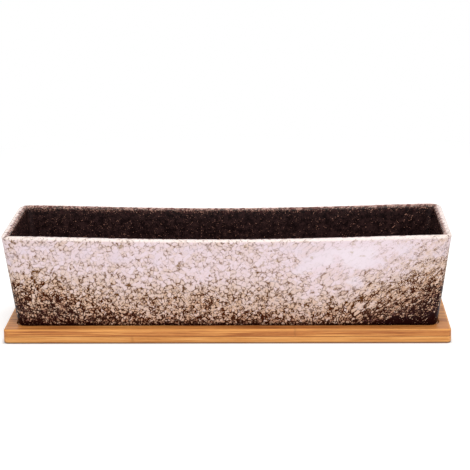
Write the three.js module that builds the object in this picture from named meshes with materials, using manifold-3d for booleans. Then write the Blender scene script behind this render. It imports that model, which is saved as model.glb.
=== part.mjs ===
// A long rectangular ceramic planter that stands in a shallow seat in its bamboo tray.
// Millimetres, +Z up. The origin is the middle of the tray's underside, and +X runs along the planter.
import * as THREE from "three";
import { mergeGeometries, mergeVertices } from "three/addons/utils/BufferGeometryUtils.js";
import Module from "manifold-3d";

const wasm = await Module();
wasm.setup();

// Pot: outside sizes, measured at the rim
const potLength = 275;
const potDepth = 80;
const potHeight = 60;
const wallDraft = 6.5; // how far each wall leans in between the rim and the foot
const rimCorner = 8; // radius of the upright corners at the rim
const footCorner = 6; // and at the foot
const innerCorner = 4; // and inside

// Pot: thicknesses and edges
const rimWall = 5;
const footWall = 6; // wall thickness where it meets the floor
const floorThickness = 6;
const rimRound = 1.8;
const footRound = 3.5;
const floorRound = 6; // inside, between the walls and the floor
const footWidth = 5; // flat ring that the pot stands on
const footHeight = 2; // hollow under the floor, inside that ring

// Drain holes and the nets over them
const drainRadius = 5;
const drainNames = ["left", "middle", "right"];
const netThickness = 1.2;
const netGap = 2.2;
const netStrand = 1.1;
const netEdgeClearance = 5; // from the net to the curve at the foot of the walls
const netLift = 0.3; // the net lies this close over the floor

// Tray: two plies of bamboo strips
const trayEndMargin = 6.5; // tray beyond the foot of the pot, at each end
const traySideMargin = 8; // and at the front and back
const upperPly = 4.5;
const lowerPly = 4.5;
const upperStrips = 4;
const trayCorner = 3;
const topArris = 1.2;
const bottomArris = 0.6;
const seatDepth = 1.5;
const seatClearance = 1; // around the foot of the pot

// Facets
const cornerSteps = 6;
const roundSteps = 4;
const holeSides = 32;
const leastCorner = 0.5; // no upright corner gets sharper than this
const weldDistance = 1e-4; // corners of faces closer than this are one corner
const overcut = 1; // how far a cutter runs past the face that it opens

const ceramic = new THREE.MeshStandardMaterial({ color: 0xc9b4b4, roughness: 0.22, metalness: 0 });
const upperBamboo = new THREE.MeshStandardMaterial({ color: 0xc4854a, roughness: 0.5, metalness: 0 });
const lowerBamboo = new THREE.MeshStandardMaterial({ color: 0xd29b5c, roughness: 0.5, metalness: 0 });
const netPlastic = new THREE.MeshStandardMaterial({ color: 0x26282a, roughness: 0.6, metalness: 0 });

// Sizes that follow from the ones above
const footLength = potLength - 2 * wallDraft;
const footDepth = potDepth - 2 * wallDraft;
const floorTop = footHeight + floorThickness;
const trayLength = footLength + 2 * trayEndMargin;
const trayDepth = footDepth + 2 * traySideMargin;
const trayHeight = lowerPly + upperPly;
const stripWidth = trayDepth / upperStrips;
const rimEdge = Math.min(rimRound, rimWall / 2);

// A rounded rectangle at one height: half its length and depth, and its corner radius.
function ring(halfX, halfY, radius, z) {
  const r = Math.max(Math.min(radius, halfX, halfY), leastCorner);
  const points = [];
  for (const [sx, sy, start] of [[1, 1, 0], [-1, 1, 90], [-1, -1, 180], [1, -1, 270]]) {
    for (let k = 0; k <= cornerSteps; k++) {
      const a = THREE.MathUtils.degToRad(start + (90 * k) / cornerSteps);
      points.push([sx * (halfX - r) + r * Math.cos(a), sy * (halfY - r) + r * Math.sin(a), z]);
    }
  }
  return points;
}

// The closed solid through a stack of rings, with a flat cap on the first and the last.
function loft(rings) {
  const count = rings[0].length;
  const positions = rings.flat(2);
  const index = [];
  for (let i = 0; i + 1 < rings.length; i++) {
    for (let j = 0; j < count; j++) {
      const a = i * count + j;
      const b = i * count + ((j + 1) % count);
      index.push(a, b, b + count, a, b + count, a + count);
    }
  }
  const last = (rings.length - 1) * count;
  for (let j = 1; j + 1 < count; j++) {
    index.push(0, j + 1, j);
    index.push(last, last + j, last + j + 1);
  }
  const geometry = new THREE.BufferGeometry();
  geometry.setAttribute("position", new THREE.Float32BufferAttribute(positions, 3));
  geometry.setIndex(index);
  return geometry;
}

function solid(geometry) {
  const bare = geometry.clone();
  bare.deleteAttribute("normal");
  bare.deleteAttribute("uv");
  const merged = mergeVertices(bare, weldDistance);
  return new wasm.Manifold(
    new wasm.Mesh({
      numProp: 3,
      vertProperties: new Float32Array(merged.attributes.position.array),
      triVerts: new Uint32Array(merged.index.array),
    }),
  );
}

function geometryOf(manifold) {
  const { vertProperties, triVerts } = manifold.getMesh();
  const geometry = new THREE.BufferGeometry();
  geometry.setAttribute("position", new THREE.BufferAttribute(vertProperties, 3));
  geometry.setIndex(new THREE.BufferAttribute(triVerts, 1));
  geometry.computeVertexNormals();
  return geometry;
}

function named(name, geometry, material) {
  const mesh = new THREE.Mesh(geometry, material);
  mesh.name = name;
  return mesh;
}

// Steps of a quarter turn, as pairs of sine and cosine.
function quarterTurn() {
  return Array.from({ length: roundSteps + 1 }, (_, k) => {
    const a = (Math.PI / 2) * (k / roundSteps);
    return [Math.sin(a), Math.cos(a)];
  });
}

// Outline of the pot at a height over its foot, drawn in by some inset.
function potRing(z, inset, corner) {
  const up = z / potHeight;
  const halfX = THREE.MathUtils.lerp(footLength, potLength, up) / 2;
  const halfY = THREE.MathUtils.lerp(footDepth, potDepth, up) / 2;
  const outerCorner = THREE.MathUtils.lerp(footCorner, rimCorner, up) - inset;
  return ring(halfX - inset, halfY - inset, corner ?? outerCorner, z);
}

function wallAt(z) {
  return THREE.MathUtils.mapLinear(z, floorTop, potHeight, footWall, rimWall);
}

// The outside of the pot, as if it were solid: foot edge, leaning walls, rim edge.
function potOutside() {
  const foot = quarterTurn().map(([s, c]) => potRing(footRound * (1 - c), footRound * (1 - s)));
  const rim = quarterTurn().map(([s, c]) => potRing(potHeight - rimEdge * (1 - s), rimEdge * (1 - c)));
  return loft([...foot, ...rim]);
}

// The hollow of the pot: curve round the floor, inner walls, inner rim edge.
function potHollow() {
  const floor = quarterTurn().map(([s, c]) => {
    const z = floorTop + floorRound * (1 - c);
    return potRing(z, wallAt(z) + floorRound * (1 - s), innerCorner);
  });
  const rim = quarterTurn().map(([s, c]) => {
    const z = potHeight - rimEdge * (1 - s);
    return potRing(z, wallAt(z) - rimEdge * (1 - c), innerCorner);
  });
  const mouth = potRing(potHeight, rimWall - rimEdge, innerCorner).map(([x, y, z]) => [x, y, z + overcut]);
  return loft([...floor, ...rim, mouth]);
}

// The hollow under the floor, inside the foot ring.
function underFoot() {
  const inset = footRound + footWidth;
  const ceiling = potRing(0, inset + footHeight, innerCorner).map(([x, y]) => [x, y, footHeight]);
  const edge = potRing(0, inset, innerCorner);
  const below = edge.map(([x, y]) => [x, y, -overcut]);
  return loft([below, edge, ceiling]);
}

// Each drain hole drains its own share of the floor.
function drainPlaces() {
  const floorLength = footLength - 2 * (footWall + floorRound);
  const spacing = floorLength / drainNames.length;
  return drainNames.map((name, i) => [name, spacing * (i - (drainNames.length - 1) / 2)]);
}

function drainHole(x) {
  const height = floorTop + overcut;
  const hole = new THREE.CylinderGeometry(drainRadius, drainRadius, height + overcut, holeSides);
  hole.rotateX(Math.PI / 2);
  hole.translate(x, 0, height / 2);
  return hole;
}

function pot() {
  const cuts = [potHollow(), underFoot(), ...drainPlaces().map(([, x]) => drainHole(x))];
  const body = cuts.reduce((rest, cut) => rest.subtract(solid(cut)), solid(potOutside()));
  return named("pot", geometryOf(body), ceramic);
}

// A flat square net, with as many gaps as its side holds and the rest as its border.
function drainNet(name) {
  const side = footDepth - 2 * (footWall + floorRound + netEdgeClearance);
  const pitch = netGap + netStrand;
  const count = Math.floor((side - netStrand) / pitch);
  const places = Array.from({ length: count }, (_, i) => (i - (count - 1) / 2) * pitch);
  const gaps = places.flatMap((x) =>
    places.map((y) => new THREE.BoxGeometry(netGap, netGap, 2 * netThickness).translate(x, y, 0)),
  );
  const plate = new THREE.BoxGeometry(side, side, netThickness);
  const net = solid(plate).subtract(solid(mergeGeometries(gaps)));
  return named(`drain_net_${name}`, geometryOf(net), netPlastic);
}

// One ply of the tray as a whole board, with an arris rounded off round its top or its bottom.
function ply(low, high, lowArris, highArris) {
  const boardRing = (z, inset) =>
    ring(trayLength / 2 - inset, trayDepth / 2 - inset, trayCorner - inset, z);
  const bottom = lowArris
    ? quarterTurn().map(([s, c]) => boardRing(low + lowArris * (1 - c), lowArris * (1 - s)))
    : [boardRing(low, 0)];
  const top = highArris
    ? quarterTurn().map(([s, c]) => boardRing(high - highArris * (1 - s), highArris * (1 - c)))
    : [boardRing(high, 0)];
  return loft([...bottom, ...top]);
}

// The seat that the foot of the pot stands in, routed into the upper ply.
function seat() {
  const halfX = footLength / 2 + seatClearance;
  const halfY = footDepth / 2 + seatClearance;
  const corner = footCorner + seatClearance;
  const floor = trayHeight - seatDepth;
  return loft([ring(halfX, halfY, corner, floor), ring(halfX, halfY, corner, trayHeight + overcut)]);
}

// A board cut lengthways into strips that meet face to face at the given places across the tray.
function strips(name, board, joints, material) {
  const edges = [-trayDepth / 2 - overcut, ...joints, trayDepth / 2 + overcut];
  return edges.slice(1).map((far, i) => {
    const near = edges[i];
    const lane = new THREE.BoxGeometry(trayLength + 2 * overcut, far - near, 2 * trayHeight);
    lane.translate(0, (near + far) / 2, trayHeight / 2);
    return named(`${name}_${i + 1}`, geometryOf(board.intersect(solid(lane))), material);
  });
}

function tray() {
  const upperJoints = Array.from({ length: upperStrips - 1 }, (_, i) => (i + 1) * stripWidth - trayDepth / 2);
  const lowerJoints = Array.from({ length: upperStrips }, (_, i) => (i + 0.5) * stripWidth - trayDepth / 2);
  const upper = solid(ply(lowerPly, trayHeight, 0, topArris)).subtract(solid(seat()));
  const lower = solid(ply(0, lowerPly, bottomArris, 0));
  const group = new THREE.Group();
  group.add(...strips("tray_upper_strip", upper, upperJoints, upperBamboo));
  group.add(...strips("tray_lower_strip", lower, lowerJoints, lowerBamboo));
  return group;
}

// The pot with a net over each drain hole, standing on the floor of the seat.
function seatedPot() {
  const group = new THREE.Group();
  group.position.z = trayHeight - seatDepth;
  group.add(pot());
  for (const [name, x] of drainPlaces()) {
    const net = drainNet(name);
    net.position.set(x, 0, floorTop + netLift + netThickness / 2);
    group.add(net);
  }
  return group;
}

const planter = new THREE.Group();
planter.add(tray(), seatedPot());

export default planter;
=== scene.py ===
# A glazed planter in its bamboo tray: fine surfaces, finishes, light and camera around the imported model.
# Everything is in metres. +X runs along the planter and -Y points to the viewer.
import math
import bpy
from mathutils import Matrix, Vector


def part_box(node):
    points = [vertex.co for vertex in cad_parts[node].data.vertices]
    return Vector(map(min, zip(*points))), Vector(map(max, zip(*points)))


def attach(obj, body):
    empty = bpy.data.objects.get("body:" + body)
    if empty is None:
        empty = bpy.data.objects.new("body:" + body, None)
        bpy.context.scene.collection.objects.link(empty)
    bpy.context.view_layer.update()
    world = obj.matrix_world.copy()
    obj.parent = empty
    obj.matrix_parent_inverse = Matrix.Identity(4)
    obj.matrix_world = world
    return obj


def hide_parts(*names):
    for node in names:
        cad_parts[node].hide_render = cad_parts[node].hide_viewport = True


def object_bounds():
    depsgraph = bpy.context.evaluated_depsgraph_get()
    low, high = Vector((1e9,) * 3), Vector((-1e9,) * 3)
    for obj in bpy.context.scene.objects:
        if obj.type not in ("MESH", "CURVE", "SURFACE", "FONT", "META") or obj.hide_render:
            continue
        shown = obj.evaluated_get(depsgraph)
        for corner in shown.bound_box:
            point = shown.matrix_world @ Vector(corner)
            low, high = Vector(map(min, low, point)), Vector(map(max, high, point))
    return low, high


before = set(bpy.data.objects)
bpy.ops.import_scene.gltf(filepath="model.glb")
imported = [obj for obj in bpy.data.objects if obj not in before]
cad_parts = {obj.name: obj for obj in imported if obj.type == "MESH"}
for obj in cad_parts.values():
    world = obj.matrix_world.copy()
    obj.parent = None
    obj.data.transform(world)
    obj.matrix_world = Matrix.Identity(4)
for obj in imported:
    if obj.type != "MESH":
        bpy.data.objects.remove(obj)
from types import SimpleNamespace
import bmesh
import bpy
import numpy as np
from mathutils import Matrix, Vector

cadBox = [list(corner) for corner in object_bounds()]
print("frame loaded:", len(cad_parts), "nodes")

mm = 0.001
sharpAngle = 40               # in degrees; edges that turn more than this stay sharp

# Camera

cameraSettings = {
    "place": (0.0352, -0.9384, 0.3259),
    "yaw": -1.86,             # in degrees; below 0 it turns to the left
    "pitch": 15.96,           # down
    "roll": -0.72,
    "focalPixels": 1552.0,    # focal length, in pixels of an image 470 wide
    "imageSize": 470,
    "sensor": 36.0,
    "clip": (0.01, 50.0),
}


def makeCamera(settings):
    yaw = math.radians(settings["yaw"])
    pitch = math.radians(settings["pitch"])
    roll = math.radians(settings["roll"])
    ahead = Vector((math.sin(yaw) * math.cos(pitch), math.cos(yaw) * math.cos(pitch), -math.sin(pitch)))
    level = Vector((math.cos(yaw), -math.sin(yaw), 0))
    above = level.cross(ahead)
    right = level * math.cos(roll) + above * math.sin(roll)
    up = above * math.cos(roll) - level * math.sin(roll)
    lens = bpy.data.cameras.new("camera")
    lens.sensor_width = settings["sensor"]
    lens.lens = settings["focalPixels"] * settings["sensor"] / settings["imageSize"]
    lens.clip_start, lens.clip_end = settings["clip"]
    camera = bpy.data.objects.new("camera", lens)
    turn = Matrix((right, up, -ahead)).transposed().to_4x4()
    camera.matrix_world = Matrix.Translation(settings["place"]) @ turn
    bpy.context.scene.collection.objects.link(camera)
    bpy.context.scene.camera = camera


makeCamera(cameraSettings)
print("camera set")

# Surfaces


# A rounded rectangle is a smaller rectangle with a circle carried round it: along the straight
# sides the circle's angle stands still, and round the corners the rectangle's point does.
def perimeter(longSteps, shortSteps, cornerSteps):
    alongX, alongY, angle = [], [], []
    for k, (sx, sy) in enumerate(((1, 1), (-1, 1), (-1, -1), (1, -1))):
        start = 90 * k
        steps = shortSteps if k % 2 else longSteps
        bend = np.linspace(start, start + 90, cornerSteps, endpoint=False)
        run = np.linspace(1, -1, steps, endpoint=False)
        straight = k % 2 == 0
        alongX += [sx] * cornerSteps + list(run * sx if straight else np.full(steps, sx))
        alongY += [sy] * cornerSteps + list(np.full(steps, sy) if straight else run * sy)
        angle += list(bend) + [start + 90] * steps
    return np.array(alongX, float), np.array(alongY, float), np.radians(angle)


# One ring for each height: half length, half depth, corner radius and height are columns.
def rings(path, halfX, halfY, radius, z):
    alongX, alongY, angle = path
    halfX, halfY, radius, z = (np.reshape(a, (-1, 1)) for a in np.broadcast_arrays(halfX, halfY, radius, z))
    x = alongX * (halfX - radius) + radius * np.cos(angle)
    y = alongY * (halfY - radius) + radius * np.sin(angle)
    return np.stack([x, y, z + 0 * x], axis=-1)


# Part of a circle from one angle to another, in degrees, as two arrays.
def arc(centre, radius, start, end, steps):
    a = np.radians(np.linspace(start, end, steps + 1))
    return centre[0] + radius * np.cos(a), centre[1] + radius * np.sin(a)


# Even steps from one value to another, without the first.
def onward(start, end, steps):
    return np.linspace(start, end, steps + 1)[1:]


# Square faces over a grid of points whose rows close on themselves.
def loopFaces(rows, columns, first):
    i, j = np.meshgrid(np.arange(rows - 1), np.arange(columns), indexing="ij")
    a = first + i * columns + j
    b = first + i * columns + (j + 1) % columns
    return np.stack([a, b, b + columns, a + columns], axis=-1).reshape(-1, 4)


# A mesh changed by a function of its bmesh, with its faces turned outwards.
def reshaped(mesh, change):
    shape = bmesh.new()
    shape.from_mesh(mesh)
    change(shape)
    bmesh.ops.recalc_face_normals(shape, faces=shape.faces)
    shape.to_mesh(mesh)
    shape.free()
    return mesh


# One closed mesh from grids of points and flat caps, with its seams welded.
def makeMesh(name, grids, caps=(), weld=1e-6):
    points, faces, first = [], [], 0
    for grid in grids:
        rows, columns = grid.shape[:2]
        points.append(grid.reshape(-1, 3))
        faces += loopFaces(rows, columns, first).tolist()
        first += rows * columns
    for cap in caps:
        points.append(cap)
        faces.append(list(range(first, first + len(cap))))
        first += len(cap)
    mesh = bpy.data.meshes.new(name)
    mesh.from_pydata(np.concatenate(points).tolist(), [], faces)
    return reshaped(mesh, lambda shape: bmesh.ops.remove_doubles(shape, verts=shape.verts, dist=weld))


# A finished piece, which rides its body in place of its CAD node.
def place(mesh, body, node, material):
    piece = bpy.data.objects.new(mesh.name, mesh)
    bpy.context.scene.collection.objects.link(piece)
    mesh.materials.append(material)
    mesh.shade_smooth()
    mesh.set_sharp_from_angle(angle=math.radians(sharpAngle))
    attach(piece, body)
    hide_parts(node)
    return piece


# Finishes


# A colour as a painter's program shows it, 0 to 255, made linear.
def shade(red, green, blue):
    parts = [value / 255 for value in (red, green, blue)]
    linear = [v / 12.92 if v <= 0.04045 else ((v + 0.055) / 1.055) ** 2.4 for v in parts]
    return (*linear, 1)


# A node's output. Sums on it add Math nodes.
class Wire:
    def __init__(self, finish, socket):
        self.finish = finish
        self.socket = socket

    def output(self, key):
        return Wire(self.finish, self.socket.node.outputs[key])

    def math(self, operation, *values):
        return self.finish.node("ShaderNodeMath", {"operation": operation}, dict(enumerate(values)))

    def __add__(self, other):
        return self.math("ADD", self, other)

    def __radd__(self, other):
        return self.math("ADD", other, self)

    def __sub__(self, other):
        return self.math("SUBTRACT", self, other)

    def __rsub__(self, other):
        return self.math("SUBTRACT", other, self)

    def __mul__(self, other):
        return self.math("MULTIPLY", self, other)

    def __rmul__(self, other):
        return self.math("MULTIPLY", other, self)

    def __truediv__(self, other):
        return self.math("DIVIDE", self, other)

    def __abs__(self):
        return self.math("ABSOLUTE", self)

    def exp(self):
        return self.math("EXPONENT", self)

    def root(self):
        return self.math("SQRT", self)

    def least(self, other):
        return self.math("MINIMUM", self, other)

    def most(self, other):
        return self.math("MAXIMUM", self, other)


# A material or a world in the making.
class Finish:
    def __init__(self, block):
        block.use_nodes = True
        self.block = block
        self.tree = block.node_tree
        self.shader = self.tree.nodes.get("Principled BSDF")

    # Place on the piece in millimetres, as one vector and as its three parts.
    def measure(self):
        self.spot = self.scaled(self.node("ShaderNodeTexCoord", output="Object"), 1 / mm)
        parts = self.node("ShaderNodeSeparateXYZ", {}, {0: self.spot})
        self.x, self.y, self.z = (parts.output(k) for k in range(3))
        return self

    def node(self, kind, settings=None, sockets=None, output=0):
        made = self.tree.nodes.new(kind)
        for key, value in (settings or {}).items():
            if key == "stops":
                ramp = made.color_ramp
                while len(ramp.elements) < len(value):
                    ramp.elements.new(1)
                for element, (position, colour) in zip(ramp.elements, value):
                    element.position = position
                    element.color = colour
            else:
                setattr(made, key, value)
        for key, value in (sockets or {}).items():
            self.feed(made.inputs[key], value)
        return Wire(self, made.outputs[output])

    def feed(self, socket, value):
        if isinstance(value, Wire):
            self.tree.links.new(value.socket, socket)
        else:
            socket.default_value = value

    def set(self, **values):
        for key, value in values.items():
            self.feed(self.shader.inputs[key.replace("_", " ")], value)

    def scaled(self, vector, factor):
        return self.node("ShaderNodeVectorMath", {"operation": "SCALE"}, {0: vector, "Scale": factor})

    # The place on the piece, measured in cells of a given size in millimetres along each axis.
    def cells(self, sizes, shift=(0, 0, 0), vector=None):
        settings = {"operation": "MULTIPLY_ADD"}
        spot = vector or self.spot
        sockets = {0: spot, 1: tuple(1 / size for size in sizes), 2: shift}
        return self.node("ShaderNodeVectorMath", settings, sockets)

    def noise(self, sizes, detail=2.0, shift=(0, 0, 0), rough=0.5, vector=None):
        spot = self.cells(sizes, shift, vector)
        sockets = {"Vector": spot, "Scale": 1.0, "Detail": detail, "Roughness": rough}
        return self.node("ShaderNodeTexNoise", {}, sockets)

    # 0 below low, 1 above high and smooth between them; high may be the smaller one.
    def step(self, value, low, high):
        settings = {"interpolation_type": "SMOOTHSTEP"}
        sockets = {"Value": value, "From Min": low, "From Max": high}
        return self.node("ShaderNodeMapRange", settings, sockets)

    def ramp(self, value, stops):
        return self.node("ShaderNodeValToRGB", {"stops": stops}, {0: value})

    def blend(self, first, second, share):
        sockets = {0: share, 6: first, 7: second}
        return self.node("ShaderNodeMix", {"data_type": "RGBA"}, sockets, output=2)

    def bump(self, height, distance, strength):
        sockets = {"Height": height, "Distance": distance, "Strength": strength}
        return self.node("ShaderNodeBump", {}, sockets)


def newFinish(name):
    return Finish(bpy.data.materials.new(name)).measure()


# A bell curve: 1 where the distance is 0, and near 0 past twice the reach.
def bell(distance, reach):
    share = distance * (1 / reach)
    return (share * share * -1).exp()


# Pot

potLow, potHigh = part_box("pot")

potShape = {
    "draft": 7.2 * mm,        # how far each wall leans in between the rim and the foot
    "rimCorner": 8 * mm,
    "footCorner": 6 * mm,
    "innerCorner": 4 * mm,
    "leastCorner": 0.5 * mm,  # no upright corner gets sharper than this
    "rimWall": 5 * mm,
    "footWall": 6 * mm,
    "floor": 6 * mm,
    "rimRound": 1.8 * mm,
    "footRound": 2.9 * mm,
    "floorRound": 6 * mm,
    "footWidth": 5 * mm,
    "footHeight": 2 * mm,
    "footEdge": 0.8 * mm,     # inner edge of the foot ring
    "holeRadius": 5 * mm,
    "holeEdge": 1.2 * mm,
    "sag": 2.5 * mm,          # how far the long walls sink at the middle of the rim
    "wave": 0.20 * mm,        # how far the cast walls wander inwards
    "waveStart": 1.3,         # in radians
    "longWave": 31 * mm,      # length of one radian of each wave, and of each skew that bends them
    "shortWave": 17 * mm,
    "upWave": 13 * mm,
    "longSkew": 60 * mm,
    "sideSkew": 20 * mm,
    "upSkew": 50 * mm,
    "crowding": 0.7,          # below 1, the rows of a floor crowd towards its drain holes
}

potSteps = {                  # faces along each stretch of the pot
    "long": 120,              # a multiple of 3, because the floor is shared between three holes
    "short": 30,
    "corner": 12,
    "underFoot": 3,           # from the ceiling of the foot down to its ring
    "footEdge": 5,
    "footRing": 4,
    "footRound": 12,
    "wall": 39,
    "rimRound": 8,
    "rimFlat": 2,
    "inner": 35,
    "floorRound": 12,
    "floor": 11,              # from the edge of a floor to a drain hole
    "across": 20,             # across a floor, between two drain holes
    "holeEdge": 5,
}

sideNames = ("left", "middle", "right")
netBoxes = {side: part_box(f"drain_net_{side}") for side in sideNames}
holeCentres = [(netLow.x + netHigh.x) / 2 for netLow, netHigh in netBoxes.values()]


# The section of the pot, from the ceiling of its foot, round the outside and over the rim, to the
# floor inside: distance in from the outside, height over the foot, and whether the line is inside.
def potProfile(s, steps, height):
    floorTop = s["footHeight"] + s["floor"]
    footInner = s["footRound"] + s["footWidth"]
    foot, rim, curve, edge = s["footRound"], s["rimRound"], s["floorRound"], s["footEdge"]

    def wallAt(z):
        return s["footWall"] + (s["rimWall"] - s["footWall"]) * (z - floorTop) / (height - floorTop)

    slope = np.linspace(0, 1, steps["underFoot"] + 1)[::-1]
    ringInset = onward(footInner, foot, steps["footRing"])
    wallZ = onward(foot, height - rim, steps["wall"])
    rimInset = onward(rim, s["rimWall"] - rim, steps["rimFlat"])
    innerZ = onward(height - rim, floorTop + curve, steps["inner"])
    turn = np.radians(onward(0, 90, steps["floorRound"]))
    curveZ = floorTop + curve * (1 - np.sin(turn))
    outside = [
        (footInner + edge + slope * s["footHeight"], edge + slope * (s["footHeight"] - edge)),
        arc((footInner, edge), edge, 0, -90, steps["footEdge"]),
        (ringInset, np.zeros_like(ringInset)),
        arc((foot, foot), foot, -90, -180, steps["footRound"]),
        (np.zeros_like(wallZ), wallZ),
        arc((rim, height - rim), rim, 180, 90, steps["rimRound"]),
    ]
    inside = [
        (rimInset, np.full_like(rimInset, height)),
        arc((s["rimWall"] - rim, height - rim), rim, 90, 0, steps["rimRound"]),
        (wallAt(innerZ), innerZ),
        (wallAt(curveZ) + curve * (1 - np.cos(turn)), curveZ),
    ]
    inset, z = (np.concatenate(column) for column in zip(*outside, *inside))
    firstInside = sum(len(part[0]) for part in outside)
    return inset, z, np.arange(len(z)) >= firstInside


# The wandering of a cast wall: two slow waves along it and one up it, always inwards.
def wander(s, points):
    x, y, z = (points[..., k] for k in range(3))
    waves = [
        np.sin(x / s["longWave"] + s["waveStart"]),
        np.sin(x / s["shortWave"] + z / s["upSkew"] + y / s["sideSkew"]),
        np.sin(z / s["upWave"] + x / s["longSkew"]),
    ]
    return s["wave"] * (sum(waves) + len(waves)) / (2 * len(waves))


# The section carried round the pot, which gets smaller towards its foot. The walls wander least at
# the foot and the rim, and the long ones sink towards their middle, most at the rim.
def potGrid(s, steps, low, high, path):
    height = high.z - low.z
    inset, z, inside = potProfile(s, steps, height)
    up = z / height
    lean = s["draft"] * (1 - up)
    halfX = (high.x - low.x) / 2 - lean - inset
    halfY = (high.y - low.y) / 2 - lean - inset
    corner = s["footCorner"] + (s["rimCorner"] - s["footCorner"]) * up - inset
    radius = np.maximum(np.where(inside, s["innerCorner"], corner), s["leastCorner"])
    footRows = z < s["footRound"] / 4    # the foot ring keeps a rounder corner
    radius[footRows] = np.maximum(radius[footRows], s["innerCorner"] / 2)
    grid = rings(path, halfX, halfY, radius, low.z + z)
    alongX, _, angle = path
    drawn = wander(s, grid) * np.minimum(1, 8 * up * (1.02 - up) + 0.1)[:, None]
    grid[..., 0] -= np.cos(angle) * drawn
    grid[..., 1] -= np.sin(angle) * drawn
    sunk = np.maximum(up**3 - up[-1] ** 3, 0)    # the last row is the floor, which stays flat
    grid[..., 2] -= s["sag"] * (1 - alongX**2) ** 1.5 * np.abs(np.sin(angle)) * sunk[:, None]
    return grid


# The ring of points round each drain hole's share of a floor: part of the floor's edge, closed
# by straight lines across the pot.
def shares(path, edge, acrossSteps):
    alongX, alongY, _ = path
    count = len(alongX)

    def third(sx, sy):
        return int(np.flatnonzero(np.isclose(alongX, sx / 3) & (alongY == sy))[0])

    def run(a, b):
        return edge[np.arange(a, b + 1 + (count if b < a else 0)) % count]

    def across(a, b):
        return edge[a] + (edge[b] - edge[a]) * np.linspace(0, 1, acrossSteps + 1)[1:-1, None]

    backLeft, backRight = third(-1, 1), third(1, 1)
    frontLeft, frontRight = third(-1, -1), third(1, -1)
    left = [run(backLeft, frontLeft), across(frontLeft, backLeft)]
    middle = [run(backRight, backLeft), across(backLeft, frontLeft)]
    middle += [run(frontLeft, frontRight), across(frontRight, backRight)]
    right = [run(frontRight, backRight), across(backRight, frontRight)]
    return [np.concatenate(parts) for parts in (left, middle, right)]


# A floor with a round hole: rows run from the floor's edge to the hole in a straight line.
def holedFloor(s, edge, centre, steps):
    ray = edge[:, :2] - centre
    ray = ray / np.linalg.norm(ray, axis=1, keepdims=True)
    reach = s["holeRadius"] + s["holeEdge"]
    rim = np.column_stack([centre + ray * reach, edge[:, 2]])
    share = np.linspace(0, 1, steps + 1)[:, None, None] ** s["crowding"]
    return edge + (rim - edge) * share, ray


# The wall of a drain hole, with a rounded edge at the top and the bottom.
def holeWall(s, steps, centre, top, bottom, topRay, bottomRay):
    e, r = s["holeEdge"], s["holeRadius"]
    upper = arc((r + e, top - e), e, 90, 180, steps)
    lower = arc((r + e, bottom + e), e, 180, 270, steps)
    radius = np.concatenate([upper[0], lower[0]])[:, None, None]
    z = np.concatenate([upper[1], lower[1]])[:, None]
    share = ((top - z) / (top - bottom))[..., None]
    ray = topRay * (1 - share) + bottomRay * share
    ray = ray / np.linalg.norm(ray, axis=-1, keepdims=True)
    spot = centre + ray * radius
    return np.concatenate([spot, np.broadcast_to(z[..., None], (*spot.shape[:2], 1))], axis=-1)


def makePot(s, steps, low, high, centres):
    path = perimeter(steps["long"], steps["short"], steps["corner"])
    walls = potGrid(s, steps, low, high, path)
    grids = [walls]
    top, bottom = walls[-1, 0, 2], walls[0, 0, 2]
    uppers = shares(path, walls[-1], steps["across"])
    lowers = shares(path, walls[0], steps["across"])
    for x, upper, lower in zip(centres, uppers, lowers):
        centre = np.array([x, 0.0])
        floor, topRay = holedFloor(s, upper, centre, steps["floor"])
        ceiling, bottomRay = holedFloor(s, lower, centre, steps["floor"])
        grids += [floor, ceiling, holeWall(s, steps["holeEdge"], centre, top, bottom, topRay, bottomRay)]
    return makeMesh("glazed_pot", grids, weld=2e-6)


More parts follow.
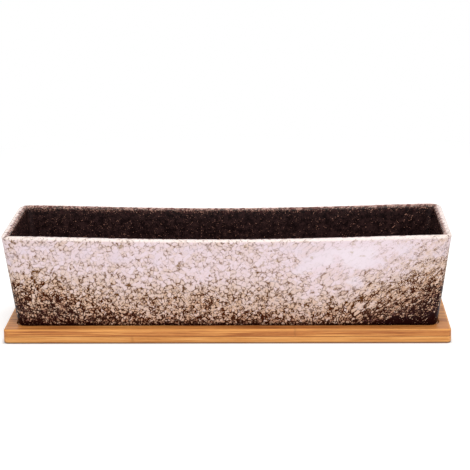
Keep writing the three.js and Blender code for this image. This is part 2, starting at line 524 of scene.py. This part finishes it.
glazeLook = {
    "ground": [               # the dark glaze beneath, from where the pale glaze is thin to thick
        (0.00, shade(26, 4, 9)),
        (0.20, shade(32, 6, 5)),
        (0.40, shade(43, 10, 1)),
        (0.60, shade(74, 30, 2)),
        (0.80, shade(104, 66, 30)),
        (1.00, shade(150, 117, 96)),
    ],
    "flakes": [               # the pale glaze on top, over the same range
        (0.00, shade(92, 62, 66)),
        (0.20, shade(149, 107, 88)),
        (0.40, shade(196, 153, 124)),
        (0.60, shade(219, 187, 163)),
        (0.80, shade(227, 204, 198)),
        (0.92, shade(232, 210, 213)),
        (1.00, shade(236, 217, 224)),
    ],
    "deep": [(0.42, shade(22, 11, 12)), (0.60, shade(56, 37, 36))],    # the dark glaze inside
    "clay": [(0.30, shade(176, 150, 122)), (0.70, shade(204, 182, 156))],
    "burnt": shade(150, 88, 76),           # tints the flakes where they end inside
    "speck": shade(92, 34, 33),            # on the rim, where it turns inwards
    "haze": shade(229, 212, 222),          # lies over the flakes where the pale glaze is thick
    "cloud": shade(241, 228, 236),         # and takes its place where that has run
    "stain": shade(176, 150, 112),
    # painted highlight: the rim's top is painted paler where light from above falls on it
    "rim": shade(248, 234, 226),
    "roughness": 0.17,
    "relief": 0.07 * mm,

    # noises: the size of their blots along each axis in mm, their detail and their shift
    "noises": {
        "drift": ((30, 30, 22), 1.5, (0, 0, 0)),
        "patch": ((8, 8, 6), 2.0, (3.1, 7.7, 1.9)),
        "small": ((3.4, 3.4, 2.8), 2.0, (9.0, 2.0, 5.0)),
        "grit": ((0.8, 0.8, 0.8), 2.0, (0, 0, 0)),
        "wobble": ((4, 4, 4), 2.0, (0, 0, 0)),
        "cloud": ((17, 17, 11), 2.5, (1.7, 4.2, 8.8)),
        "stain": ((4.2, 4.2, 3.2), 3.0, (6.1, 0.7, 2.2)),
    },
    "fleck": ((2.2, 2.2, 2.2), 2.0, (4.4, 9.1, 0.3)),    # drawn out with the flakes

    # flakes, in mm
    "flakeSizes": (0.8, 1.25, 1.8, 2.6),   # from where the pale glaze is thin to thick
    "flakeSteps": (0.06, 0.26, 0.58),      # how thick it is where one size gives way to the next
    "flakeFade": 0.18,        # and over what further thickness
    "waver": 2.2,             # how far the flakes are pushed out of shape
    "slantFrom": 70.0,        # past here the flakes are drawn out along a slant
    "slantPull": 0.58,
    "slantAngle": 40.0,       # in degrees

    # gaps between the flakes: they widen as the pale glaze gets thinner than this
    "gapFrom": 0.72,
    "gapThin": 0.32,
    "gapThick": 0.46,
    "gapDark": (0.44, 0.8),   # much thinner than that, and how much wider they get there
    "gapGrit": 0.45,
    "gapFleck": 0.62,
    "softLeast": 0.14,        # how soft the edges of the flakes are, and where they get softer
    "softFrom": 0.6,
    "softMore": 0.6,

    # thickness of the pale glaze, with heights as shares of the pot's and lengths in mm
    "thickest": 0.92,
    "thinnest": 0.12,
    "thinUnder": 0.66,        # below this height it gets thinner
    "thinning": 0.74,
    "tideDrift": 0.30,        # how far the noises move that height
    "tidePatch": 0.14,
    "thickPatch": 0.18,       # and how much they change the thickness
    "thickSmall": 0.22,
    "footBand": (0.09, 0.0),
    "footThin": 0.18,
    "rimBand": (0.88, 0.97),
    "rimThin": 0.07,
    "leftShade": 0.60,        # how much thinner it is at the left end, and how far that reaches
    "leftReach": 26.5,
    "leftTide": (1.04, -0.05),    # the ends get thinner from the first height down to the second
    "rightShade": 0.51,
    "rightReach": 32.0,
    "rightTide": (1.10, 0.44),
    "lowShade": 0.12,         # here the foot is darker
    "lowPlace": 94.0,
    "lowReach": 26.0,
    "lowBand": (0.32, 0.05),
    "runPlace": 64.0,         # here the pale glaze has run lower down the walls
    "runReach": 34.0,
    "runSlant": 60.0,         # and starts this much further along, above this height
    "runTurn": 0.6,
    "runLift": 0.19,
    "runFoot": (0.0, 0.18),
    "runBand": (0.5, 0.8),
    "runThick": 0.10,

    # haze, stains and bare clay: the noise, thickness, height or inset between which each sets in
    "hazeEdge": (0.53, 0.69),
    "hazeThick": (0.6, 0.85),
    "hazeHeight": (1.0, 0.84),
    "stainEdge": (0.62, 0.74),
    "stainHeight": (0.45, 0.65),
    "bareHeight": (0.9, 0.5),     # in mm over the foot
    "bareInset": (7.5, 8.2),
    "bareFloor": (0.06, 0.05),

    # inside the rim, with lengths in mm
    "insideBand": (2.4, 3.9),     # in from the outside, where the glaze of the inside starts
    "insideThick": 0.95,
    "insideUnder": 0.3,       # under the rim, and in from the outside, where it gets thinner
    "insideFrom": 2.6,
    # what an inset counts for beside a depth, and how much thinner a mm makes it
    "insideThinning": (0.9, 0.22),
    "insideSmall": 0.7,
    "insideThinnest": -0.4,
    "insideDeep": (0.5, 0.1),     # how thin it is where the dark glaze of the inside shows
    "insideTint": 0.72,
    "speckBands": ((1.7, 2.9), (5.4, 4.2)),    # insets where the specks set in, and where they end
    "speckHeight": (0.9, 0.95),
    "speckEdge": (0.53, 0.61),
}


# Where a place lies on the pot, in millimetres, as it was before the long walls sank.
def potPlace(f, s, low, high):
    at = SimpleNamespace()
    at.height = (high.z - low.z) / mm
    at.halfX = (high.x - low.x) / 2 / mm
    halfY = (high.y - low.y) / 2 / mm
    plain = (f.z - low.z / mm) / at.height
    bow = (1 - f.x * f.x * (1 / at.halfX**2)).most(0)
    at.rise = plain * at.height + bow * bow.root() * plain * plain * plain * (s["sag"] / mm)
    at.up = at.rise / at.height    # 0 at the foot and 1 at the rim
    lean = (1 - at.up) * (s["draft"] / mm)
    at.depthIn = (at.halfX - lean - abs(f.x)).least(halfY - lean - abs(f.y))
    return at


# The noises of the glaze, and the places that its flakes are worked out from: wavy, and drawn out
# along a slant at one end.
def glazeNoises(f, look):
    n = SimpleNamespace(**{name: f.noise(*values) for name, values in look["noises"].items()})
    angle = math.radians(look["slantAngle"])
    along = (math.cos(angle), 0, math.sin(angle))
    n.pull = (f.x * along[0] + f.z * along[2] - look["slantFrom"]).most(0) * look["slantPull"]
    drawn = f.node("ShaderNodeVectorMath", {"operation": "SUBTRACT"}, {0: f.spot, 1: f.scaled(along, n.pull)})
    n.fleck = f.noise(*look["fleck"], vector=drawn)
    sockets = {0: n.wobble.output("Color"), 1: (look["waver"],) * 3, 2: drawn}
    n.bent = f.node("ShaderNodeVectorMath", {"operation": "MULTIPLY_ADD"}, sockets)
    return n


# How thick the pale glaze is on the outside: thin at the foot and the ends, in tongues. The
# second value says where it has run lower down the walls.
def glazeOutside(f, look, at, n):
    slant = (at.up - look["runTurn"]).most(0) * look["runSlant"]
    run = bell(f.x - look["runPlace"] - slant, look["runReach"])
    lifted = run * f.step(at.up, *look["runFoot"]) * look["runLift"]
    tide = at.up + (n.drift - 0.5) * look["tideDrift"] + (n.patch - 0.5) * look["tidePatch"] + lifted
    leftEnd = ((f.x + at.halfX) * (-1 / look["leftReach"])).exp()
    rightEnd = ((at.halfX - f.x) * (-1 / look["rightReach"])).exp()
    ends = leftEnd * look["leftShade"] * f.step(tide, *look["leftTide"])
    ends = ends + rightEnd * look["rightShade"] * f.step(tide, *look["rightTide"])
    lowest = bell(f.x - look["lowPlace"], look["lowReach"])
    ends = ends + lowest * look["lowShade"] * f.step(at.up, *look["lowBand"])
    thick = look["thickest"] - (look["thinUnder"] - tide).most(0) * look["thinning"] - ends
    thick = thick + (n.patch - 0.5) * look["thickPatch"] + (n.small - 0.5) * look["thickSmall"]
    thick = thick - f.step(at.up, *look["footBand"]) * look["footThin"]
    thick = thick - f.step(at.up, *look["rimBand"]) * (1 - run) * look["rimThin"]
    thick = thick + run * f.step(at.up, *look["runBand"]) * look["runThick"]
    return thick.most(look["thinnest"]), run


# How thick it is inside, where it ends in specks a little below the rim.
def glazeInside(look, at, n):
    inwards, downwards = look["insideThinning"]
    below = (at.height - at.rise - look["insideUnder"]).most(0)
    below = below + (at.depthIn - look["insideFrom"]).most(0) * inwards
    thick = look["insideThick"] - below * downwards + (n.small - 0.5) * look["insideSmall"]
    return thick.most(look["insideThinnest"])


# Flakes are the cells of a pattern, parted by gaps: how far inside its flake a place is, from
# 0 at the edge to 1, for a gap of a given half width, and a number that each flake has of its own.
# The edge of a flake fades over the length soft.
def flakePattern(f, vector, size, gap, soft):
    spot = f.cells((size, size, size), vector=vector)
    sockets = {"Vector": spot, "Scale": 1.0, "Randomness": 1.0}
    edge = f.node("ShaderNodeTexVoronoi", {"feature": "DISTANCE_TO_EDGE"}, sockets)
    cell = f.node("ShaderNodeTexVoronoi", {"feature": "F1"}, sockets).output("Color")
    own = f.node("ShaderNodeSeparateColor", {}, {0: cell})
    edge = edge + (own - 0.5) * 0.12    # some flakes are larger than others
    return f.step(edge - gap, 0.07 - soft * 0.5, 0.07 + soft * 0.5), own


# The flakes of all sizes together: the pattern, each flake's own number, and how much the pale
# glaze lacks of the thickness at which its gaps start to widen.
def glazeFlakes(f, look, thick, within, n):
    darkFrom, dark = look["gapDark"]
    lack = look["gapFrom"] - thick
    gap = lack.most(0) * look["gapThin"] + lack.least(0) * look["gapThick"]
    gap = gap + (lack - darkFrom).most(0) * (1 - within) * dark
    gap = gap + (n.grit - 0.5) * look["gapGrit"] + (n.fleck - 0.5) * look["gapFleck"]
    soft = look["softLeast"] + (thick - look["softFrom"]).most(0) * (1 - within) * look["softMore"]
    (mask, own), *others = [flakePattern(f, n.bent, size, gap, soft) for size in look["flakeSizes"]]
    for (larger, largerOwn), start in zip(others, look["flakeSteps"]):
        # the sizes mix in patches, and flakes that are drawn out stay small
        spread = thick + (n.small - 0.5) * 0.5 - n.pull * 0.03
        share = f.step(spread, start, start + look["flakeFade"])
        mask = mask + (larger - mask) * share
        own = own + (largerOwn - own) * share
    return mask, own, lack


# The flakes over the dark glaze, clouded where the pale glaze is thick and stained near the rim.
def glazeColour(f, look, at, n, thick, within, run, mask, own, lack):
    tone = thick + (own - 0.48) * (lack.most(0) * 1.1 + 0.20) + (n.grit - 0.5) * 0.36
    deep = f.ramp((n.grit + n.small) * 0.5, look["deep"])
    ground = f.blend(f.ramp(thick, look["ground"]), deep, within * f.step(thick, *look["insideDeep"]))
    flakes = f.ramp(tone.most(within * 0.55), look["flakes"])
    flakes = f.blend(flakes, look["burnt"], within * look["insideTint"])
    colour = f.blend(ground, flakes, mask)
    clouded = f.step(n.cloud + (at.up - 0.75) * 0.5 + run * 0.14, *look["hazeEdge"])
    clouded = clouded * f.step(thick, *look["hazeThick"]) * f.step(at.up, *look["hazeHeight"])
    colour = f.blend(colour, f.blend(look["haze"], look["cloud"], run), clouded * (0.75 + run * 0.08))
    stained = f.step(n.stain, *look["stainEdge"]) * f.step(at.up, *look["stainHeight"])
    return f.blend(colour, look["stain"], stained * (1 - within) * 0.5)


# The rim is painted paler, a painted highlight where light from above falls on its top, with specks where it
# turns inwards.
def rimHighlightAndSpecks(f, look, s, at, n, colour, within, mask):
    rimFoot = at.height - s["rimRound"] / mm
    rim = f.step(at.rise, rimFoot - 0.1, rimFoot + 0.9)
    # painted highlight on the rim, strongest on the pale flakes
    colour = f.blend(colour, look["rim"], rim * (1 - within * 0.8) * (0.3 + mask * 0.45))
    outer, inner = look["speckBands"]
    turning = f.step(at.depthIn, *outer) * f.step(at.depthIn, *inner) * f.step(at.up, *look["speckHeight"])
    speckled = f.step(n.fleck + (n.small - 0.5) * 0.4, *look["speckEdge"]) * turning
    return f.blend(colour, look["speck"], speckled * 0.8)


def glazeFinish(look, s, low, high):
    f = newFinish("flowing_glaze")
    at = potPlace(f, s, low, high)
    n = glazeNoises(f, look)
    thick, run = glazeOutside(f, look, at, n)
    within = f.step(at.depthIn, *look["insideBand"])
    thick = thick + (glazeInside(look, at, n) - thick) * within
    mask, own, lack = glazeFlakes(f, look, thick, within, n)
    colour = glazeColour(f, look, at, n, thick, within, run, mask, own, lack)
    colour = rimHighlightAndSpecks(f, look, s, at, n, colour, within, mask)

    # bare clay under the foot
    underFloor = f.step(at.depthIn, *look["bareInset"]) * f.step(at.up, *look["bareFloor"])
    bare = f.step(at.rise + (n.grit - 0.5) * 0.6, *look["bareHeight"]).most(underFloor)
    f.set(Base_Color=f.blend(colour, f.ramp(n.grit, look["clay"]), bare))
    f.set(Roughness=look["roughness"] + (1 - mask) * 0.06 + bare * 0.55)
    f.set(Normal=f.bump(mask * 0.5 + n.patch, look["relief"], 0.6))
    f.set(Specular_IOR_Level=0.08)
    return f.block


glaze = glazeFinish(glazeLook, potShape, potLow, potHigh)
place(makePot(potShape, potSteps, potLow, potHigh, holeCentres), "pot", "pot", glaze)
print("pot made")

# Tray

trayShape = {
    "corner": 3 * mm,
    "leastCorner": 0.3 * mm,
    "topArris": 1.2 * mm,
    "bottomArris": 0.6 * mm,
    "glueArris": 0.12 * mm,   # where the two plies meet
    "seatDepth": 1.5 * mm,
    "seatClearance": 1 * mm,
    "seatEdge": 0.25 * mm,
    "past": 1 * mm,           # the outermost cuts clear the board by this much
}

upperNames = [f"tray_upper_strip_{k}" for k in range(1, 5)]
lowerNames = [f"tray_lower_strip_{k}" for k in range(1, 6)]


# A board lofted from its underside to its top, with arrises given as quarter circles.
def boardRings(s, path, halfX, halfY, low, high, lowArris, highArris):
    under = arc((lowArris, low + lowArris), lowArris, 270, 180, steps=4)
    over = arc((highArris, high - highArris), highArris, 180, 90, steps=8)
    inset, z = (np.concatenate(pair) for pair in zip(under, over))
    radius = np.maximum(s["corner"] - inset, s["leastCorner"])
    return rings(path, halfX - inset, halfY - inset, radius, z)


# The seat for the foot of the pot, from its rounded edge down to its floor.
def seatRings(path, s, low, high, top):
    lean = s["seatClearance"] - potShape["draft"]
    halfX = (high.x - low.x) / 2 + lean
    halfY = (high.y - low.y) / 2 + lean
    corner = potShape["footCorner"] + s["seatClearance"]
    inset, z = arc((-s["seatEdge"], top - s["seatEdge"]), s["seatEdge"], 90, 0, steps=4)
    inset, z = np.append(inset, 0), np.append(z, top - s["seatDepth"])
    return rings(path, halfX - inset, halfY - inset, corner - inset, z)


# The part of a board between two places across it, with flat sides there.
def lane(name, grid, near, far):
    def cut(shape):
        for y, side in ((near, -1), (far, 1)):
            everything = shape.verts[:] + shape.edges[:] + shape.faces[:]
            plane = {"plane_co": (0, y, 0), "plane_no": (0, side, 0)}
            made = bmesh.ops.bisect_plane(shape, geom=everything, clear_outer=True, dist=1e-7, **plane)
            rim = [e for e in made["geom_cut"] if isinstance(e, bmesh.types.BMEdge) and e.is_boundary]
            if rim:
                bmesh.ops.holes_fill(shape, edges=rim, sides=0)

    return reshaped(makeMesh(name, [grid], [grid[0], grid[-1]]), cut)


bambooLook = {
    "upper": (shade(160, 92, 42), shade(203, 131, 68), shade(234, 168, 94)),
    "lower": (shade(180, 109, 50), shade(214, 145, 76), shade(234, 170, 98)),
    "toneStops": (0.2, 0.5, 0.8),
    # painted highlight along the top arris
    "arris": shade(236, 168, 88),
    # painted shadow along the lower edge, where the tray sits on the floor
    "underShade": shade(104, 70, 50),
    "glue": shade(96, 52, 24),
    "knuckle": shade(150, 92, 48),
    "pore": shade(112, 66, 34),
    "roughness": 0.42,
    "relief": 0.05 * mm,

    # sizes of the grain in mm, along, across and up a strip
    "fibre": (26, 0.6, 0.5),
    "streak": (42, 1.6, 0.9),
    "cloudy": (48, 12, 12),
    "dash": (4.0, 0.28, 0.28),
    "dots": (6, 0.7, 0.7),

    # widths in mm, and distances from an edge between which a mark sets in
    "glueWidth": 0.18,        # half width
    "knuckleWidth": (1.3, 0.2),
    "highlightEdge": (1.5, 0.9),
    "highlightTop": (1.1, 0.4),
    "underShadeEdge": (3.0, 1.0),
    "underShadeFoot": (1.5, 0.4),
    "endGrain": (0.5, 0.2),
}


# The grain of one strip: its colour, and the noises that give it its relief.
def bambooGrain(f, look, tones, rng):
    shift = tuple(rng.uniform(-50, 50, 3))
    own = rng.uniform(-0.08, 0.08)    # each strip is a little lighter or darker
    fibre = f.noise(look["fibre"], 3.0, shift, rough=0.6)
    streak = f.noise(look["streak"], 2.0, shift)
    cloud = f.noise(look["cloudy"], 1.0, shift)
    dash = f.noise(look["dash"], 2.0, shift)
    value = 0.5 + own + (fibre - 0.5) * 1.1 + (streak - 0.5) * 1.1 + (cloud - 0.5) * 0.5
    colour = f.ramp(value + (dash - 0.5) * 0.3, list(zip(look["toneStops"], tones)))
    return colour, fibre, cloud, dash


def bambooFinish(name, look, tones, seed, jointsY, glueZ, corner):
    endX, endY, topZ = (value / mm for value in corner)
    f = newFinish(name)
    rng = np.random.default_rng(seed)
    colour, fibre, cloud, dash = bambooGrain(f, look, tones, rng)

    # painted highlight along the upper arris, where light catches the rounded edge
    edge = (endX - abs(f.x)).least(endY - abs(f.y))
    arrisLight = f.step(edge, *look["highlightEdge"]) * f.step(f.z, *(topZ - down for down in look["highlightTop"]))
    colour = f.blend(colour, look["arris"], arrisLight * 0.5)
    # painted shadow: the lower edge is darker where the tray meets the floor
    underShadow = f.step(f.z, *look["underShadeFoot"]) * f.step(edge, *look["underShadeEdge"])
    colour = f.blend(colour, look["underShade"], underShadow * 0.9)

    # a knuckle of the cane crosses the strip
    crossing = rng.uniform(-0.8, 0.8) * endX
    wavy = f.x - crossing + (f.noise((3, 3, 3), detail=1.0) - 0.5) * 2.0
    colour = f.blend(colour, look["knuckle"], f.step(abs(wavy), *look["knuckleWidth"]) * 0.3)

    # the ends show the cut fibres as dots
    end = f.step(abs(f.x), *(endX - inwards for inwards in look["endGrain"]))
    dots = {"Vector": f.cells(look["dots"]), "Scale": 1.0}
    spots = f.node("ShaderNodeTexVoronoi", {"feature": "F1"}, dots)
    colour = f.blend(colour, look["pore"], end * (0.25 + f.step(spots, 0.42, 0.25) * 0.5))

    # glue lines
    width = look["glueWidth"]
    glue = f.step(abs(f.z - glueZ / mm) + (dash - 0.5) * 0.15, width * 1.7, width * 0.7)
    for y in jointsY:
        glue = glue.most(f.step(abs(f.y - y / mm), width, width / 2))
    colour = f.blend(colour, look["glue"], glue * (0.1 + cloud * 0.8))
    f.set(Base_Color=colour)
    f.set(Roughness=look["roughness"] + (fibre - 0.5) * 0.2 + end * 0.15)
    f.set(Normal=f.bump(fibre + dash * 0.5 - glue * 0.6, look["relief"], 0.5))
    f.set(Specular_IOR_Level=0.3)
    return f.block


def makeTray(s, look):
    path = perimeter(longSteps=24, shortSteps=12, cornerSteps=10)
    low = Vector(np.min([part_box(n)[0] for n in lowerNames], axis=0))
    high = Vector(np.max([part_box(n)[1] for n in upperNames], axis=0))
    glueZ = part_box(upperNames[0])[0].z
    halfX, halfY = high.x, high.y
    upper = boardRings(s, path, halfX, halfY, glueZ, high.z, s["glueArris"], s["topArris"])
    upper = np.concatenate([upper, seatRings(path, s, potLow, potHigh, high.z)])
    lower = boardRings(s, path, halfX, halfY, low.z, glueZ, s["bottomArris"], s["glueArris"])
    for k, (ply, grid, names) in enumerate((("upper", upper, upperNames), ("lower", lower, lowerNames))):
        for i, node in enumerate(names):
            near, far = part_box(node)[0].y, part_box(node)[1].y
            # its glued sides, which aren't the edges of the board
            joints = [y for y, edge in ((near, -halfY), (far, halfY)) if abs(y - edge) > 0.1 * mm]
            name = f"bamboo_{ply}_strip_{i + 1}"
            seed = 40 + 10 * k + i    # each strip has a grain of its own
            finish = bambooFinish(name, look, look[ply], seed, joints, glueZ, high)
            start = near - (s["past"] if i == 0 else 0)
            end = far + (s["past"] if node == names[-1] else 0)
            place(lane(name, grid, start, end), "tray", node, finish)


makeTray(trayShape, bambooLook)
print("tray made")

# Drain nets

netShape = {
    "gap": 2.2 * mm,
    "strand": 1.1 * mm,
    "edge": 0.3 * mm,
    "edgeSteps": 2,
}


# A square plate with square gaps: the faces of the lattice cells that hold material, and walls
# where a cell that does meets one that doesn't.
def makeNet(name, s, low, high):
    side = high.x - low.x
    pitch = s["gap"] + s["strand"]
    count = int((side - s["strand"]) / pitch + 1e-6)
    centres = (np.arange(count) - (count - 1) / 2) * pitch
    gapEdges = np.stack([centres - s["gap"] / 2, centres + s["gap"] / 2], -1).ravel()
    lines = np.concatenate([[-side / 2], gapEdges, [side / 2]])
    n = len(lines)
    filled = np.ones((n - 1, n - 1), bool)
    filled[1::2, 1::2] = False
    x, y = np.meshgrid(lines + (low.x + high.x) / 2, lines + (low.y + high.y) / 2, indexing="ij")
    layers = [np.stack([x, y, np.full_like(x, z)], -1) for z in (low.z, high.z)]
    points = np.concatenate(layers).reshape(-1, 3)

    # the corners of each cell, as rows of the array of points
    at = np.arange(n * n).reshape(n, n)
    base = (at[:-1, :-1], at[1:, :-1], at[1:, 1:], at[:-1, 1:])
    lid = tuple(part + n * n for part in base)

    def quads(mask, *corners):
        return np.stack([part[mask] for part in corners], -1)

    faces = [quads(filled, *base[::-1]), quads(filled, *lid)]
    padded = np.pad(filled, 1)
    around = ((0, -1, 0, 1), (1, 0, 1, 2), (0, 1, 2, 3), (-1, 0, 3, 0))
    for dx, dy, a, b in around:
        beside = padded[1 + dx:n + dx, 1 + dy:n + dy]
        faces.append(quads(filled & ~beside, base[a], base[b], lid[b], lid[a]))
    mesh = bpy.data.meshes.new(name)
    mesh.from_pydata(points.tolist(), [], np.concatenate(faces).tolist())

    def dropLoose(shape):
        bmesh.ops.delete(shape, geom=[v for v in shape.verts if not v.link_faces], context="VERTS")

    return reshaped(mesh, dropLoose)


netLook = {
    "tones": [(0.3, shade(34, 35, 36)), (0.7, shade(50, 51, 52))],
    "cloud": (6, 6, 6),       # in mm
    "grain": (0.4, 0.4, 0.4),
    "roughness": 0.5,
    "relief": 0.03 * mm,
}


def netFinish(look):
    f = newFinish("net_plastic")
    grain = f.noise(look["grain"])
    f.set(Base_Color=f.ramp(f.noise(look["cloud"]), look["tones"]))
    f.set(Roughness=look["roughness"] + (grain - 0.5) * 0.3)
    f.set(Normal=f.bump(grain, look["relief"], 0.4))
    return f.block


netPlastic = netFinish(netLook)
for side, (netLow, netHigh) in netBoxes.items():
    mesh = makeNet(f"moulded_net_{side}", netShape, netLow, netHigh)
    net = place(mesh, f"net_{side}", f"drain_net_{side}", netPlastic)
    rounding = net.modifiers.new("rounding", "BEVEL")
    rounding.width = netShape["edge"]
    rounding.segments = netShape["edgeSteps"]
    rounding.limit_method = "ANGLE"
print("nets made")

# Floor, world and lamps

stageLook = {
    "floorShade": 0.86,
    "floorRoughness": 0.9,
    "floorReach": 3.0,
    "shadowReach": (0.28, 0.55),    # the floor fades to plain white between these distances
    "floorLift": 0.38,              # what the camera sees is this much lighter
    "contactShadow": (-0.5, 3.0),         # but not yet between these distances from the tray, in mm: a painted shadow along its edge
    "worldLight": 0.74,
    "lamps": [                      # name, place, aim, width, height, power in watts
        ("overhead", (0.25, -0.25, 1.3), (0, 0, 0.03), 1.4, 1.0, 8),
        ("front", (0.5, -1.6, 0.9), (0, 0, 0.03), 1.0, 0.8, 5.5),
    ],
}


def floorFinish(look):
    f = newFinish("floor_paint")
    tone = look["floorShade"]
    f.set(Base_Color=(tone, tone, tone, 1), Roughness=look["floorRoughness"], Specular_IOR_Level=0.0)
    seen = f.node("ShaderNodeLightPath").output("Is Camera Ray")
    away = (f.x * f.x + f.y * f.y).root()
    fade = f.step(away, look["shadowReach"][0] / mm, look["shadowReach"][1] / mm)
    beside = (abs(f.x) - cadBox[1][0] / mm).most(abs(f.y) - cadBox[1][1] / mm)
    # painted shadow: along the tray's edge the floor is not lifted and stays darker
    lifted = seen * f.step(beside, *look["contactShadow"]) * look["floorLift"]
    lift = f.node("ShaderNodeEmission", {}, {"Strength": lifted})
    near = f.node("ShaderNodeAddShader", {}, {0: Wire(f, f.shader.outputs[0]), 1: lift})
    white = f.node("ShaderNodeEmission", {}, {"Strength": 1.0})
    painted = f.node("ShaderNodeMixShader", {}, {0: fade * seen, 1: near, 2: white})
    f.feed(f.tree.nodes["Material Output"].inputs["Surface"], painted)
    return f.block


def makeFloor(look):
    mesh = bpy.data.meshes.new("floor")
    reach = look["floorReach"]
    corners = [(-reach, -reach, 0), (reach, -reach, 0), (reach, reach, 0), (-reach, reach, 0)]
    mesh.from_pydata(corners, [], [(0, 1, 2, 3)])
    mesh.materials.append(floorFinish(look))
    floor = bpy.data.objects.new("floor", mesh)
    bpy.context.scene.collection.objects.link(floor)


# The world lights the object a little below white, and shows as plain white.
def makeWorld(look):
    world = Finish(bpy.data.worlds.new("world"))
    rays = world.node("ShaderNodeLightPath")
    shown = rays.output("Is Camera Ray").most(rays.output("Is Glossy Ray"))
    shown = shown.most(rays.output("Is Transmission Ray"))
    background = world.tree.nodes["Background"]
    background.inputs["Color"].default_value = (1, 1, 1, 1)
    world.feed(background.inputs["Strength"], look["worldLight"] + shown * (1 - look["worldLight"]))
    bpy.context.scene.world = world.block


def makeLamps(look):
    for name, spot, aim, width, height, power in look["lamps"]:
        lamp = bpy.data.lights.new(name, "AREA")
        lamp.shape = "RECTANGLE"
        lamp.size, lamp.size_y = width, height
        lamp.energy = power
        holder = bpy.data.objects.new(name, lamp)
        holder.location = spot
        holder.rotation_euler = (Vector(spot) - Vector(aim)).to_track_quat("Z", "Y").to_euler()
        bpy.context.scene.collection.objects.link(holder)


makeFloor(stageLook)
makeWorld(stageLook)
makeLamps(stageLook)
bpy.context.scene.view_settings.view_transform = "Standard"
print("stage lit")
